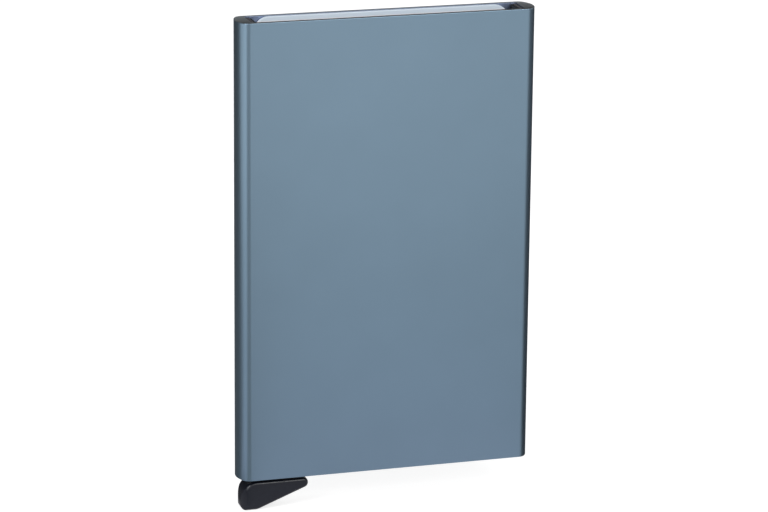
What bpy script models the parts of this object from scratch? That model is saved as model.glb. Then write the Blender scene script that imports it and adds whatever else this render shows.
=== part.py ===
"""Aluminium card holder with a stepped ejector lever.

The holder stands upright: +Z is up, its mouth is at the top and its front faces -Y. Lengths are in
metres. X is measured from the middle of the housing and Z from its bottom edge, and every piece is
then lifted by the drop of the lever's trigger, so that the lowest point of the whole lies at Z = 0.
"""
import math

import bmesh
import bpy

# Card
CARD_WIDTH = 0.0540
CARD_HEIGHT = 0.0856
CARD_THICKNESS = 0.00076
CARD_CORNER_RADIUS = 0.00318

# Room around the card
CARD_SIDE_GAP = 0.0003
CARD_BACK_GAP = 0.0003
CARD_SEAT_GAP = 0.00045
CARD_BELOW_RIM = 0.00005

# Grip strips on the inner ends of the bay: foam against the metal, velour against the cards
FOAM_THICKNESS = 0.0008
VELOUR_THICKNESS = 0.0005
GLUE_LINE = 0.00005
STRIP_FACE_GAP = 0.0003
STRIP_BELOW_RIM = 0.0001
STRIP_ABOVE_SEAT = 0.0004
FOAM_ROUNDING = 0.0001
VELOUR_ROUNDING = 0.0002

# Extruded housing
BAY_DEPTH = 0.0058
FACE_WALL = 0.0011
END_WALL = 0.0028
END_ARC_RADIUS = 0.0060
EDGE_RADIUS = 0.0018
BAY_CORNER_RADIUS = 0.0005
RIM_ROUNDING = 0.00015

# Lever pivot and boss
PIN_RADIUS = 0.0010
PIN_CHAMFER = 0.0002
BORE_CLEARANCE = 0.00006
PIN_HOLE_CLEARANCE = 0.00002
BOSS_RADIUS = 0.0026
BOSS_END_GAP = 0.0006
PIVOT_HEIGHT = 0.0052
NECK_DEPTH = 0.0029
RUNNING_GAP = 0.0003

# Trigger, the part of the lever outside the housing
TRIGGER_DROP = 0.0070
TRIGGER_INSET = 0.00055
TRIGGER_BULGE = 0.0014
TRIGGER_LENGTH = 0.0145
TRIGGER_GAP = 0.0009
SHOULDER_RADIUS = 0.0030
BOW_HEIGHT_SHARE = 0.345
BOW_EXCESS = 0.0006
NOSE_RADIUS = 0.0010
TIP_RADIUS = 0.0011
TRIGGER_FILLET = 0.0010
TRIGGER_TOP_FILLET = 0.0005
FILLET_LIMIT_SHARE = 0.95
NECK_FILLET = 0.0010
ROOT_FILLET = 0.0012

# Arm, the part of the lever that lifts the cards, one step for each of six cards
SEAT_HEIGHT = 0.0102
ARM_REACH = 0.0490
ARM_TIP_GAP = 0.00135
STEP_LENGTH = 0.0055
STEP_COUNT = 6
STEP_NOSE_RADIUS = 0.0006
ARM_START_REACH = 0.0160
ARM_ROOT_HEIGHT = 0.0056
ARM_TIP_HEIGHT = 0.0030
ROOT_STEP = 0.0002
ROOT_SHOULDER = 0.0030
SWING_ANGLE = math.radians(25)

# Bottom cap
CAP_FIT = 0.00015
CAP_RECESS = 0.0003
CAP_FLOOR = 0.0012
CAP_WALL = 0.0011
CAP_RIB = 0.0010
CAP_POCKET_COUNT = 4
SWING_GAP = 0.0004
CHEEK_BRIDGE_WIDTH = 0.00135
CHEEK_BRIDGE_HEIGHT = 0.0018
REST_LEDGE_START = 0.0060
POST_WIDTH = 0.0037

# Cuts run past the solids they cut by this much
OVERRUN = 0.0010

# Points closer than this are one
POINT_TOLERANCE = 0.000001

# Segments on round stretches
EDGE_STEPS = 6
END_STEPS = 6
CORNER_STEPS = 3
CARD_CORNER_STEPS = 8
SHOULDER_STEPS = 5
BOW_STEPS = 6
NOSE_STEPS = 6
TIP_STEPS = 10
FILLET_STEPS = 4
BULGE_STEPS = 6
BOSS_STEPS = 12
PIN_STEPS = 32

# Sizes that follow from the ones above
STRIP_THICKNESS = FOAM_THICKNESS + VELOUR_THICKNESS + 2 * GLUE_LINE
CARD_ROOM = CARD_WIDTH + 2 * (CARD_SIDE_GAP + STRIP_THICKNESS)
LEVER_ROOM = BOSS_END_GAP + BOSS_RADIUS + ARM_REACH + ARM_TIP_GAP + POST_WIDTH + CAP_FIT
BAY_WIDTH = max(CARD_ROOM, LEVER_ROOM)
CARD_MIDDLE = STRIP_THICKNESS + CARD_SIDE_GAP + CARD_WIDTH / 2 - BAY_WIDTH / 2
HOUSING_WIDTH = BAY_WIDTH + 2 * END_WALL
HOUSING_DEPTH = BAY_DEPTH + 2 * FACE_WALL
CARD_BOTTOM = SEAT_HEIGHT + CARD_SEAT_GAP
HOUSING_HEIGHT = CARD_BOTTOM + CARD_HEIGHT + CARD_BELOW_RIM
PIVOT_X = BOSS_END_GAP + BOSS_RADIUS - BAY_WIDTH / 2
POST_LEFT = PIVOT_X + ARM_REACH + ARM_TIP_GAP
POST_RIGHT = POST_LEFT + POST_WIDTH
LEVER_DEPTH = BAY_DEPTH - 2 * RUNNING_GAP
CAP_DEPTH = BAY_DEPTH - 2 * CAP_FIT
CHEEK_GAP = NECK_DEPTH + 2 * RUNNING_GAP


def clear_scene():
    """Remove whatever the scene holds."""
    for item in list(bpy.data.objects):
        bpy.data.objects.remove(item, do_unlink=True)


def arc(centre, radius, start, end, steps):
    """Points of an arc, without its last one. Angles are in degrees."""
    points = []
    for index in range(steps):
        angle = math.radians(start + (end - start) * index / steps)
        points.append((centre[0] + radius * math.cos(angle), centre[1] + radius * math.sin(angle)))
    return points


def rounded_rectangle(width, depth, radius, steps):
    """Outline of a rectangle with round corners, centred on the origin."""
    x = width / 2 - radius
    y = depth / 2 - radius
    outline = []
    for turn, centre in enumerate([(x, -y), (x, y), (-x, y), (-x, -y)]):
        start = 90 * turn - 90
        outline += arc(centre, radius, start, start + 90, steps)
        end = math.radians(start + 90)
        outline.append((centre[0] + radius * math.cos(end), centre[1] + radius * math.sin(end)))
    return outline


def make_material(name, colour, roughness, metallic):
    """Principled material from a colour, a roughness and a metallic value."""
    material = bpy.data.materials.new(name)
    material.use_nodes = True
    shader = material.node_tree.nodes["Principled BSDF"]
    shader.inputs["Base Color"].default_value = (*colour, 1.0)
    shader.inputs["Roughness"].default_value = roughness
    shader.inputs["Metallic"].default_value = metallic
    return material


def anodised_aluminium():
    return make_material("anodised_aluminium", (0.155, 0.225, 0.285), 0.35, 1.0)


def lever_plastic():
    return make_material("lever_plastic", (0.022, 0.022, 0.026), 0.42, 0.0)


def cap_plastic():
    return make_material("cap_plastic", (0.030, 0.030, 0.032), 0.55, 0.0)


def pin_steel():
    return make_material("pin_steel", (0.60, 0.60, 0.62), 0.30, 1.0)


def foam():
    return make_material("foam", (0.050, 0.050, 0.055), 0.95, 0.0)


def velour():
    return make_material("velour", (0.075, 0.070, 0.070), 0.90, 0.0)


def card_plastic():
    return make_material("card_plastic", (0.78, 0.83, 0.90), 0.35, 0.0)


def add_object(name, mesh_builder, location):
    """Turn a finished bmesh into an object at a place of its own."""
    bmesh.ops.recalc_face_normals(mesh_builder, faces=mesh_builder.faces[:])
    mesh = bpy.data.meshes.new(name)
    mesh_builder.to_mesh(mesh)
    mesh_builder.free()
    item = bpy.data.objects.new(name, mesh)
    item.location = location
    bpy.context.collection.objects.link(item)
    return item


def extrude(outline, place, travel):
    """Close an outline with a face, push it along a straight way and return the solid as a bmesh."""
    solid = bmesh.new()
    face = solid.faces.new([solid.verts.new(place(point)) for point in outline])
    pushed = bmesh.ops.extrude_face_region(solid, geom=[face])
    moved = [part for part in pushed["geom"] if isinstance(part, bmesh.types.BMVert)]
    bmesh.ops.translate(solid, verts=moved, vec=travel)
    return solid


def side_prism(name, outline, depth, location):
    """Outline in X and Z, pushed along Y to a depth that is centred on Y = 0."""
    solid = extrude(outline, lambda point: (point[0], -depth / 2, point[1]), (0, depth, 0))
    return add_object(name, solid, location)


def plan_prism(name, outline, low, high, location):
    """Outline in X and Y, pushed up from one height to another."""
    solid = extrude(outline, lambda point: (point[0], point[1], low), (0, 0, high - low))
    return add_object(name, solid, location)


def block(name, low, high, location):
    """Box between two corners."""
    outline = [(low[0], low[1]), (high[0], low[1]), (high[0], high[1]), (low[0], high[1])]
    return plan_prism(name, outline, low[2], high[2], location)


def rod(name, radius, length, location, chamfer=0):
    """Round bar along Y, centred on its location, with chamfered ends where a chamfer is given."""
    half = length / 2
    rings = [(radius, half)]
    if chamfer:
        rings = [(radius, half - chamfer), (radius - chamfer, half)]
    rings = [(size, -place) for size, place in reversed(rings)] + rings
    solid = bmesh.new()
    loops = []
    for size, place in rings:
        loops.append([solid.verts.new((x, place, z)) for x, z in arc((0, 0), size, 0, 360, PIN_STEPS)])
    skin_loops(solid, loops)
    return add_object(name, solid, location)


def skin_loops(solid, loops):
    """Join loops of equal count with quads and close both ends."""
    for lower, upper in zip(loops, loops[1:]):
        for index in range(len(lower)):
            following = (index + 1) % len(lower)
            solid.faces.new([lower[index], lower[following], upper[following], upper[index]])
    solid.faces.new(loops[0])
    solid.faces.new(loops[-1])


def combine(target, tool, operation):
    """Add, cut or intersect one solid with another, which is then only a guide."""
    modifier = target.modifiers.new(tool.name, "BOOLEAN")
    modifier.operation = operation
    modifier.solver = "EXACT"
    modifier.object = tool
    tool.hide_render = True
    tool.display_type = "WIRE"


def round_edges(target, width, segments, angle):
    """Round every edge that is sharper than an angle."""
    modifier = target.modifiers.new("round_edges", "BEVEL")
    modifier.width = width
    modifier.segments = segments
    modifier.limit_method = "ANGLE"
    modifier.angle_limit = math.radians(angle)


def housing_outline():
    """Outside of the extrusion: flat faces, small edge arcs and gently bulging ends, all tangent."""
    half_depth = HOUSING_DEPTH / 2
    rise = half_depth - EDGE_RADIUS
    reach = END_ARC_RADIUS - EDGE_RADIUS
    meet = math.degrees(math.asin(rise / reach))
    end_x = HOUSING_WIDTH / 2 - END_ARC_RADIUS
    edge_x = end_x + reach * math.cos(math.radians(meet))
    right = arc((edge_x, -rise), EDGE_RADIUS, -90, -meet, EDGE_STEPS)
    right += arc((end_x, 0), END_ARC_RADIUS, -meet, meet, END_STEPS)
    right += arc((edge_x, rise), EDGE_RADIUS, meet, 90, EDGE_STEPS)
    right.append((edge_x, half_depth))
    return right + [(-x, -y) for x, y in right]


def build_housing(foot):
    housing = plan_prism("housing", housing_outline(), 0, HOUSING_HEIGHT, foot)
    bay = rounded_rectangle(BAY_WIDTH, BAY_DEPTH, BAY_CORNER_RADIUS, CORNER_STEPS)
    cutter = plan_prism("bay_cutter", bay, -OVERRUN, HOUSING_HEIGHT + OVERRUN, foot)
    combine(housing, cutter, "DIFFERENCE")
    round_edges(housing, RIM_ROUNDING, 2, 60)
    housing.data.materials.append(anodised_aluminium())
    return housing


def build_strip(name, side, near, thickness, rounding, material, foot):
    """One layer of a grip strip, its near face so far from the end of the bay."""
    inner = side * (BAY_WIDTH / 2 - near)
    outer = inner - side * thickness
    half_depth = BAY_DEPTH / 2 - STRIP_FACE_GAP
    low = (min(inner, outer), -half_depth, SEAT_HEIGHT + STRIP_ABOVE_SEAT)
    high = (max(inner, outer), half_depth, HOUSING_HEIGHT - STRIP_BELOW_RIM)
    strip = block(name, low, high, foot)
    round_edges(strip, rounding, 2, 60)
    strip.data.materials.append(material)
    return strip


def build_strips(foot):
    foam_material = foam()
    velour_material = velour()
    velour_near = FOAM_THICKNESS + 2 * GLUE_LINE
    for word, side in (("left", -1), ("right", 1)):
        build_strip("foam_strip_" + word, side, GLUE_LINE, FOAM_THICKNESS, FOAM_ROUNDING,
                    foam_material, foot)
        build_strip("velour_facing_" + word, side, velour_near, VELOUR_THICKNESS, VELOUR_ROUNDING,
                    velour_material, foot)


def build_card(foot):
    """Card with the standard round corners, just clear of the back wall and of the left strip."""
    outline = rounded_rectangle(CARD_WIDTH, CARD_HEIGHT, CARD_CORNER_RADIUS, CARD_CORNER_STEPS)
    middle = BAY_DEPTH / 2 - CARD_BACK_GAP - CARD_THICKNESS / 2
    place = (foot[0] + CARD_MIDDLE, foot[1] + middle, foot[2] + CARD_BOTTOM + CARD_HEIGHT / 2)
    card = side_prism("card", outline, CARD_THICKNESS, place)
    card.data.materials.append(card_plastic())
    return card


def touching_centre(outer, outer_radius, radius, height):
    """Centre, at a height, of an arc that touches a larger one from inside on its left."""
    reach = outer_radius - radius
    return outer[0] - math.sqrt(reach ** 2 - (height - outer[1]) ** 2), height


def trigger_arcs():
    """Centre and radius of each arc in the trigger's outline, from the pivot."""
    left = TRIGGER_INSET - HOUSING_WIDTH / 2 - PIVOT_X
    top = -TRIGGER_GAP - PIVOT_HEIGHT
    foot = -TRIGGER_DROP - PIVOT_HEIGHT
    head_radius = (top - foot) / 2
    bow_height = foot + BOW_HEIGHT_SHARE * (top - foot)
    bow_radius = top - bow_height + BOW_EXCESS
    bow = (left + bow_radius, bow_height)
    shoulder = touching_centre(bow, bow_radius, SHOULDER_RADIUS, top - SHOULDER_RADIUS)
    nose = touching_centre(bow, bow_radius, NOSE_RADIUS, foot + NOSE_RADIUS)
    return {
        "bow": (bow, bow_radius),
        "shoulder": (shoulder, SHOULDER_RADIUS),
        "nose": (nose, NOSE_RADIUS),
        "head": ((left + head_radius, foot + head_radius), head_radius),
        "tip": ((left + TRIGGER_LENGTH - TIP_RADIUS, top - TIP_RADIUS), TIP_RADIUS),
    }


def way_between(start, end):
    """Direction from one point to another, in degrees from 0 to 360."""
    return math.degrees(math.atan2(end[1] - start[1], end[0] - start[0])) % 360


def trigger_outline():
    """Trigger's outline as points with their outward directions, from the pivot.

    A shoulder, the gently bowed outer end, the nose and a head as tall as the trigger, whose
    underside runs into the slope where a finger presses, and the tip. The top is level.
    """
    arcs = trigger_arcs()
    head, head_radius = arcs["head"]
    tip = arcs["tip"][0]
    bow = arcs["bow"][0]
    run = (tip[0] - head[0], tip[1] - head[1])
    lean = math.asin((head_radius - TIP_RADIUS) / math.hypot(*run))
    slope = math.degrees(math.atan2(run[1], run[0]) + lean)
    upper = way_between(bow, arcs["shoulder"][0])
    lower = way_between(bow, arcs["nose"][0])
    stretches = [("shoulder", 90, upper, SHOULDER_STEPS), ("bow", upper, lower, BOW_STEPS),
                 ("nose", lower, 270, NOSE_STEPS), ("head", 270, 270 + slope, CORNER_STEPS),
                 ("tip", 270 + slope, 450, TIP_STEPS)]
    outline = []
    for name, first, last, steps in stretches:
        centre, radius = arcs[name]
        for step in range(steps + 1):
            angle = math.radians(first + (last - first) * step / steps)
            direction = (math.cos(angle), math.sin(angle))
            point = (centre[0] + radius * direction[0], centre[1] + radius * direction[1])
            if not outline or math.dist(point, outline[-1][0]) > POINT_TOLERANCE:
                outline.append((point, direction))
    return outline


def trigger_fillet(direction):
    """Full fillet on the sides and below, easing to a small one on the top under the housing.

    The arcs of the nose and the tip limit the full fillet, so that it never folds over itself.
    """
    full = min(TRIGGER_FILLET, FILLET_LIMIT_SHARE * min(NOSE_RADIUS, TIP_RADIUS))
    upward = max(0.0, direction[1])
    return full + (TRIGGER_TOP_FILLET - full) * upward ** 2


def trigger_levels(fillet):
    """Depth and inset of each slice through the trigger, from front to back, for a fillet."""
    front = []
    for step in range(FILLET_STEPS + 1):
        angle = math.pi / 2 * step / FILLET_STEPS
        front.append((fillet * (1 - math.cos(angle)) - LEVER_DEPTH / 2, fillet * (1 - math.sin(angle))))
    start = fillet - LEVER_DEPTH / 2
    middle = [(start - 2 * start * step / BULGE_STEPS, 0.0) for step in range(1, BULGE_STEPS)]
    return front + middle + [(-y, inset) for y, inset in reversed(front)]


def end_draw(y):
    """How far the trigger's outer end draws in at a depth: seen from above, the end is an arc."""
    half = LEVER_DEPTH / 2
    radius = (half ** 2 + TRIGGER_BULGE ** 2) / (2 * TRIGGER_BULGE)
    return radius - math.sqrt(max(0.0, radius ** 2 - y ** 2))


def build_trigger(pivot):
    """Finger piece: its outline swept through the depth, with front and back fillets and a round end."""
    outline = trigger_outline()
    left = min(point[0] for point, direction in outline)
    columns = []
    for point, direction in outline:
        column = []
        for y, inset in trigger_levels(trigger_fillet(direction)):
            x = max(point[0] - direction[0] * inset, left + end_draw(y))
            column.append((x, y, point[1] - direction[1] * inset))
        columns.append(column)
    solid = bmesh.new()
    loops = [[solid.verts.new(spot) for spot in level] for level in zip(*columns)]
    skin_loops(solid, loops)
    return add_object("ejector_lever", solid, pivot)


def arm_underside(x):
    """Height of the arm's underside above the pivot, at a distance from it."""
    top = SEAT_HEIGHT - PIVOT_HEIGHT
    share = (x - ARM_START_REACH) / (ARM_REACH - ARM_START_REACH)
    return top - ARM_ROOT_HEIGHT + (ARM_ROOT_HEIGHT - ARM_TIP_HEIGHT) * share


def build_neck(pivot):
    """Thin middle of the lever: the neck through the slot, the boss and the root of the arm."""
    top = SEAT_HEIGHT - PIVOT_HEIGHT - ROOT_STEP
    under = arm_underside(ARM_START_REACH) + ROOT_STEP
    trigger_top = -TRIGGER_GAP - PIVOT_HEIGHT
    sunk = trigger_top - TIP_RADIUS
    far = ARM_START_REACH + OVERRUN
    away = math.hypot(ROOT_SHOULDER, top)
    touch = math.degrees(math.atan2(top, ROOT_SHOULDER) + math.acos(BOSS_RADIUS / away))
    outline = [(-BOSS_RADIUS, sunk), (BOSS_RADIUS + NECK_FILLET, sunk)]
    outline += arc((BOSS_RADIUS + NECK_FILLET, trigger_top + NECK_FILLET), NECK_FILLET, 270, 180, 4)
    outline.append((BOSS_RADIUS, trigger_top + NECK_FILLET))
    outline += arc((BOSS_RADIUS + ROOT_FILLET, under - ROOT_FILLET), ROOT_FILLET, 180, 90, 4)
    outline += [(BOSS_RADIUS + ROOT_FILLET, under), (far, under), (far, top), (ROOT_SHOULDER, top)]
    outline += arc((0, 0), BOSS_RADIUS, touch, 180, BOSS_STEPS)
    outline.append((-BOSS_RADIUS, 0))
    return side_prism("neck_guide", outline, NECK_DEPTH, pivot)


def build_arm(pivot):
    """Stepped arm: seen from above it is a flight of stairs, longest at the back of the bay."""
    top = SEAT_HEIGHT - PIVOT_HEIGHT
    front = -LEVER_DEPTH / 2
    tread = LEVER_DEPTH / STEP_COUNT
    stairs = [(ARM_START_REACH, LEVER_DEPTH / 2), (ARM_START_REACH, front)]
    for step in range(STEP_COUNT):
        reach = ARM_REACH - STEP_LENGTH * (STEP_COUNT - 1 - step)
        stairs.append((reach, front + tread * step))
        stairs.append((reach, front + tread * (step + 1)))
    solid = bmesh.new()
    upper = [solid.verts.new((x, y, top)) for x, y in stairs]
    lower = [solid.verts.new((x, y, arm_underside(x))) for x, y in stairs]
    skin_loops(solid, [lower, upper])
    noses = [solid.edges.get((upper[2 + 2 * step], upper[3 + 2 * step])) for step in range(STEP_COUNT)]
    bmesh.ops.bevel(solid, geom=noses, offset=STEP_NOSE_RADIUS, segments=3, profile=0.5,
                    affect="EDGES")
    return add_object("arm_guide", solid, pivot)


def build_lever(foot):
    """One moulded lever with its origin on the pivot's axis."""
    pivot = (foot[0] + PIVOT_X, foot[1], foot[2] + PIVOT_HEIGHT)
    lever = build_trigger(pivot)
    combine(lever, build_neck(pivot), "UNION")
    combine(lever, build_arm(pivot), "UNION")
    bore = rod("lever_bore", PIN_RADIUS + BORE_CLEARANCE, NECK_DEPTH + 2 * OVERRUN, pivot)
    combine(lever, bore, "DIFFERENCE")
    lever.data.materials.append(lever_plastic())
    return lever


def build_pin(foot):
    pivot = (foot[0] + PIVOT_X, foot[1], foot[2] + PIVOT_HEIGHT)
    pin = rod("pivot_pin", PIN_RADIUS, CAP_DEPTH, pivot, PIN_CHAMFER)
    pin.data.materials.append(pin_steel())
    return pin


def arc_to_height(radius, height, rising):
    """Angle in degrees at which a circle about the pivot passes a height, right of the pivot."""
    angle = math.degrees(math.asin((height - PIVOT_HEIGHT) / radius))
    return angle if rising else angle - 360


def cap_profile():
    """Cap seen from the front: cheeks beside the neck, the slot below them, the plug and its post.

    The slot follows the way of the trigger, so it opens just as far as the lever swings.
    """
    pivot = (PIVOT_X, PIVOT_HEIGHT)
    tip = trigger_arcs()["tip"][0]
    turned_z = tip[0] * math.sin(SWING_ANGLE) + tip[1] * math.cos(SWING_ANGLE)
    slot_roof = PIVOT_HEIGHT + turned_z + TIP_RADIUS + SWING_GAP
    cheek_radius = PIVOT_HEIGHT + TRIGGER_GAP - SWING_GAP
    slot_radius = math.hypot(*tip) + TIP_RADIUS + SWING_GAP
    cheek_end = ARM_START_REACH - SWING_GAP
    plug_top = PIVOT_HEIGHT + arm_underside(ARM_START_REACH) - SWING_GAP
    arm_tip = PIVOT_X + ARM_REACH
    plug_tip_top = PIVOT_HEIGHT + arm_underside(ARM_REACH) - SWING_GAP
    side = BAY_WIDTH / 2 + OVERRUN
    outline = [(-side, CAP_RECESS)]
    outline += arc(pivot, cheek_radius, arc_to_height(cheek_radius, CAP_RECESS, True),
                   arc_to_height(cheek_radius, slot_roof, True), 8)
    outline.append((PIVOT_X + math.sqrt(cheek_radius ** 2 - (slot_roof - PIVOT_HEIGHT) ** 2), slot_roof))
    outline += arc(pivot, slot_radius, arc_to_height(slot_radius, slot_roof, True),
                   arc_to_height(slot_radius, CAP_RECESS, True), 4)
    outline.append((PIVOT_X + math.sqrt(slot_radius ** 2 - (CAP_RECESS - PIVOT_HEIGHT) ** 2), CAP_RECESS))
    outline += [(side, CAP_RECESS), (side, plug_tip_top), (POST_RIGHT, plug_tip_top)]
    outline += [(POST_RIGHT, SEAT_HEIGHT), (POST_LEFT, SEAT_HEIGHT)]
    outline += [(POST_LEFT, plug_tip_top), (arm_tip, plug_tip_top)]
    outline += arc(pivot, cheek_end, arc_to_height(cheek_end, plug_top, True),
                   arc_to_height(cheek_end, SEAT_HEIGHT, True), 6)
    outline.append((PIVOT_X + math.sqrt(cheek_end ** 2 - (SEAT_HEIGHT - PIVOT_HEIGHT) ** 2), SEAT_HEIGHT))
    outline.append((-side, SEAT_HEIGHT))
    return outline


def lever_way():
    """Space between the cheeks for the neck and the arm's root, over the ledge the root rests on."""
    left = -BAY_WIDTH / 2 - OVERRUN
    bridge_right = -BAY_WIDTH / 2 + CAP_FIT + CHEEK_BRIDGE_WIDTH
    bridge_under = SEAT_HEIGHT - CHEEK_BRIDGE_HEIGHT
    ledge_left = PIVOT_X + REST_LEDGE_START
    ledge_top = PIVOT_HEIGHT + arm_underside(ARM_START_REACH) + ROOT_STEP - RUNNING_GAP
    right = PIVOT_X + ARM_START_REACH + OVERRUN
    roof = SEAT_HEIGHT + OVERRUN
    return [(left, -OVERRUN), (ledge_left, -OVERRUN), (ledge_left, ledge_top), (right, ledge_top),
            (right, roof), (bridge_right, roof), (bridge_right, bridge_under), (left, bridge_under)]


def cut_pockets(cap, foot):
    """Moulding pockets in the plug, under the arm, with a rib between each two."""
    first = PIVOT_X + ARM_START_REACH - SWING_GAP
    last = POST_LEFT - CAP_RIB
    width = (last - first - CAP_RIB * (CAP_POCKET_COUNT - 1)) / CAP_POCKET_COUNT
    half_depth = CAP_DEPTH / 2 - CAP_WALL
    for index in range(CAP_POCKET_COUNT):
        left = first + index * (width + CAP_RIB)
        low = (left, -half_depth, CAP_RECESS + CAP_FLOOR)
        high = (left + width, half_depth, SEAT_HEIGHT + OVERRUN)
        pocket = block("cap_pocket_%d" % (index + 1), low, high, foot)
        combine(cap, pocket, "DIFFERENCE")


def build_cap(foot):
    """Moulded cap: the profile, cut to the section of the bay, then opened for the lever."""
    cap = side_prism("bottom_cap", cap_profile(), BAY_DEPTH + 2 * OVERRUN, foot)
    section = rounded_rectangle(BAY_WIDTH - 2 * CAP_FIT, CAP_DEPTH, BAY_CORNER_RADIUS, CORNER_STEPS)
    fit = plan_prism("cap_section", section, -OVERRUN, SEAT_HEIGHT + OVERRUN, foot)
    combine(cap, fit, "INTERSECT")
    combine(cap, side_prism("lever_way", lever_way(), CHEEK_GAP, foot), "DIFFERENCE")
    pivot = (foot[0] + PIVOT_X, foot[1], foot[2] + PIVOT_HEIGHT)
    hole = rod("pin_hole", PIN_RADIUS + PIN_HOLE_CLEARANCE, CAP_DEPTH + 2 * OVERRUN, pivot)
    combine(cap, hole, "DIFFERENCE")
    cut_pockets(cap, foot)
    cap.data.materials.append(cap_plastic())
    return cap


def main():
    clear_scene()
    foot = (0, 0, TRIGGER_DROP)
    build_housing(foot)
    build_strips(foot)
    build_card(foot)
    build_lever(foot)
    build_pin(foot)
    build_cap(foot)


main()
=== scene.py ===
"""Looks of an aluminium card holder with an ejector lever.

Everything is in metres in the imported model's frame: +Z is up, the mouth is at the top and the front
faces -Y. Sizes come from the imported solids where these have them.
"""
import math
import random

import bmesh
import bpy
from mathutils import Matrix, Vector, noise


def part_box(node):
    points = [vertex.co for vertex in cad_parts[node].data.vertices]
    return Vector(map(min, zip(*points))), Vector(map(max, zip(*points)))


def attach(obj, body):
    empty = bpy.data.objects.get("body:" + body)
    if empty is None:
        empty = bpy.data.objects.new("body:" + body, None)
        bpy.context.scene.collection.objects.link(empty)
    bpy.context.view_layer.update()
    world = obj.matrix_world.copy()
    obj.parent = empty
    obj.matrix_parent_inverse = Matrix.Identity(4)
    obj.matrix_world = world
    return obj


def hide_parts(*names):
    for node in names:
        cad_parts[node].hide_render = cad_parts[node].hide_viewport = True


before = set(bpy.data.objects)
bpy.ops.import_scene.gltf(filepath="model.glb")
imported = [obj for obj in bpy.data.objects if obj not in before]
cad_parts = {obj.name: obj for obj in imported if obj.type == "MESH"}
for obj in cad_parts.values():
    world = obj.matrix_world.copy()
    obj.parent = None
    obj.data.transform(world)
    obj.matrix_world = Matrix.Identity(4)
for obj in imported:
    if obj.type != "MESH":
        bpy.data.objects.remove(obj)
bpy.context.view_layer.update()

# Camera
LENS_MM = 161.14
SENSOR_MM = 36.0
CLIP_START = 0.01
CLIP_END = 20.0
CAMERA_PLACE = (-0.19701, -0.65213, 0.24656)
CAMERA_TARGET = (0.000157, 0.0, 0.052112)
CAMERA_ROLL = math.radians(0.532)

# All pieces: angles are in degrees
SHARP_ANGLE = 30
SAME_PLACE = 0.000001

# Housing
END_WALL = 0.0028
FACE_WALL = 0.0011
END_ARC_RADIUS = 0.0060
EDGE_RADIUS = 0.0018
BAY_CORNER_RADIUS = 0.0005
RIM_ROUNDING = 0.00006
ARC_STEPS = 16
BAY_CORNER_STEPS = 6
RIM_STEPS = 4

# Lever
PIVOT = (-0.0255, 0.0, 0.0122)
PIN_RADIUS = 0.0010
BORE_CLEARANCE = 0.00006
BOSS_RADIUS = 0.0026
NECK_DEPTH = 0.0029
TRIGGER_INSET = 0.00055
TRIGGER_BULGE = 0.0014
TRIGGER_LENGTH = 0.0145
TRIGGER_GAP = 0.0009
SHOULDER_RADIUS = 0.0030
BOW_HEIGHT_SHARE = 0.345
BOW_EXCESS = 0.0006
NOSE_RADIUS = 0.0010
TIP_RADIUS = 0.0011
TRIGGER_FILLET = 0.00095
TRIGGER_TOP_FILLET = 0.0005
NECK_FILLET = 0.0010
ROOT_FILLET = 0.0012
ARM_REACH = 0.0490
STEP_LENGTH = 0.0055
STEP_COUNT = 6
STEP_NOSE_RADIUS = 0.0006
ARM_START_REACH = 0.0160
ARM_ROOT_HEIGHT = 0.0056
ARM_TIP_HEIGHT = 0.0030
ROOT_STEP = 0.0002
ROOT_SHOULDER = 0.0030
OVERRUN = 0.0010
NOSE_STEPS = 16
TIP_STEPS = 28
FILLET_STEPS = 8
BULGE_STEPS = 20
NECK_STEPS = 10
BOSS_STEPS = 24
BORE_STEPS = 64
STEP_NOSE_STEPS = 8

# Card
CARD_CORNER_RADIUS = 0.00318
CARD_EDGE_ROUNDING = 0.00008
CARD_CORNER_STEPS = 20
CARD_EDGE_STEPS = 3
# Top band of the card that carries painted blue light from the anodised bay
PAINTED_BLUE_BAND = 0.00075
PAINTED_BLUE_BLEND = 0.0002

# Grip strips: foam against the metal, velour against the card. A grain is in waves to a metre.
FOAM_ROUNDING = 0.00015
FOAM_GRAIN = 2600.0
FOAM_UNEVENNESS = 0.000025
PILE_LENGTH = 0.00018
PILE_ROUNDING = 0.00012
PILE_GRAIN = 4200.0
PILE_UNEVENNESS = 0.00003
STRIP_CORNER_STEPS = 3
DENSE_ZONE = 0.010
DENSE_STEP = 0.0003
LOOSE_STEP = 0.0009
LONGEST_LAST_STEP = 1.5 * DENSE_STEP

SEED = 7

# Fibres of the velour: those on its face stand close together near the mouth and lean upwards
FIBRE_RADIUS = 0.000030
FACE_FIBRES = 900
FACE_FIBRE_SPAN = 0.97
FACE_FIBRE_CROWDING = 1.6
FACE_FIBRE_RISE = 0.25
FACE_FIBRE_LEAN = 0.35
FACE_FIBRE_LEAST_REACH = 0.4
FACE_FIBRE_LENGTHS = (0.6, 0.95)
TOP_FIBRES = 150
TOP_FIBRE_SPAN = (0.8, 0.95)
TOP_FIBRE_LEAN = (0.25, 0.3)
TOP_FIBRE_LENGTHS = (0.5, 0.9)

# Cap
CAP_SOFTENING = 0.00008
SOFTENED_ANGLE = 50

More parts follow.
